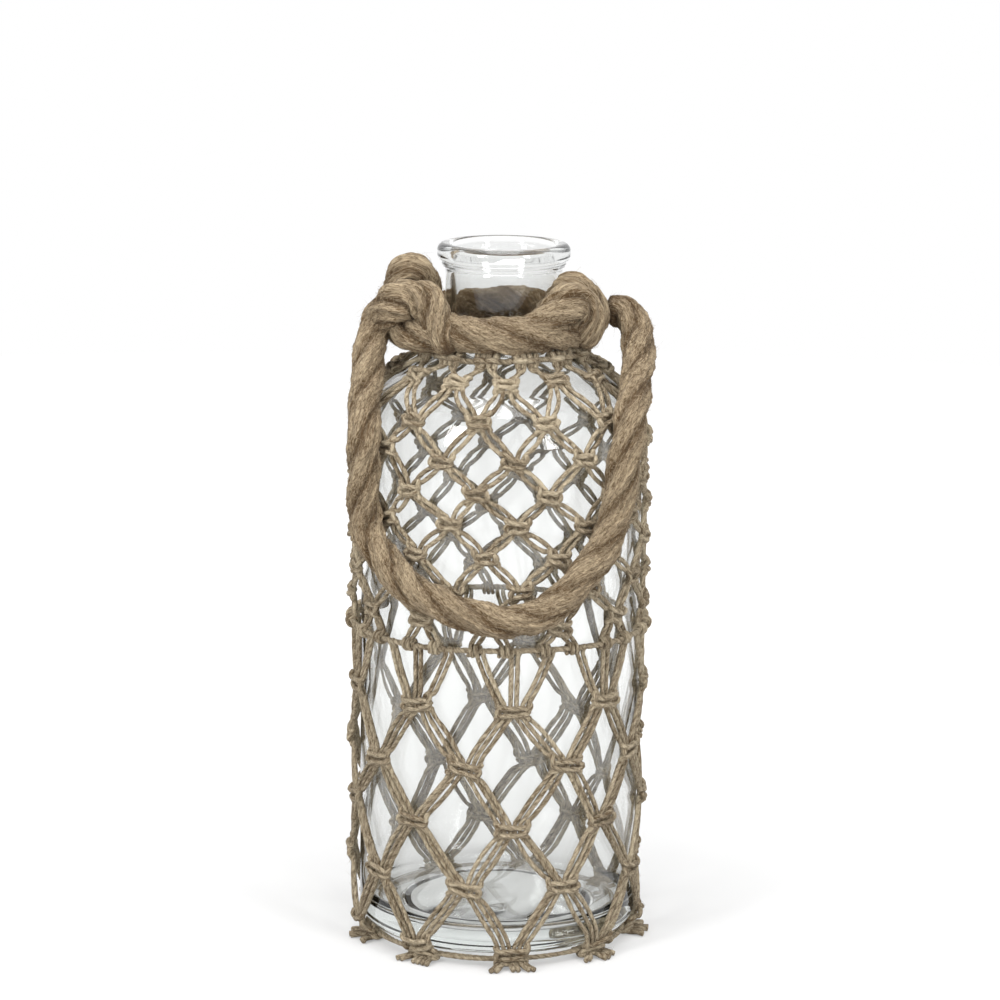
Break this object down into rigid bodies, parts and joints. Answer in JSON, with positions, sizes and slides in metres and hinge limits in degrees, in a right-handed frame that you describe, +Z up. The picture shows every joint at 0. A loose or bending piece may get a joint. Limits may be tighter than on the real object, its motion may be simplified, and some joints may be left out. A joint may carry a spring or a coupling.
{
  "type": "glass bottle vase with knotted net and rope handle",
  "caption": "Clear glass bottle vase in a hand-knotted jute net, with a rope collar round its neck and a rope carrying handle that swings on two knots.",
  "frame": {"origin": "centre of the flat panel in the bottle's underside, on the bottle's axis", "axes": "+Z up along the bottle's axis to the mouth, -Y to the front where the handle hangs, +X to the viewer's right"},
  "size_m": [0.1345, 0.1462, 0.3046],
  "materials": {
    "clear_glass": "clear, polished",
    "jute_rope": "three-strand natural jute rope, hairy",
    "jute_twine": "natural jute twine, hairy"
  },
  "bodies": {
    "vase": {"glass_bottle": "clear_glass", "neck_collar": "jute_rope", "left_knot": "jute_rope", "right_knot": "jute_rope", "net_top_cord": "jute_twine", "upper_row_1": "jute_twine", "upper_row_2": "jute_twine", "upper_row_3": "jute_twine", "upper_row_4": "jute_twine", "upper_row_5": "jute_twine", "upper_row_6": "jute_twine", "upper_row_7": "jute_twine", "upper_row_8": "jute_twine", "leader_cord": "jute_twine", "lower_row_1": "jute_twine", "lower_row_2": "jute_twine", "lower_row_3": "jute_twine", "lower_row_4": "jute_twine", "lower_row_5": "jute_twine", "base_ring_cord": "jute_twine", "base_knots": "jute_twine"},
    "handle": {"handle_rope": "jute_rope"}
  },
  "joints": [
    {"name": "handle_swing", "type": "hinge", "parent": "vase", "child": "handle", "pos_m": [0, -0.004, 0.27107], "axis": [-1, 0, 0], "range_deg": [0, 264]}
  ]
}
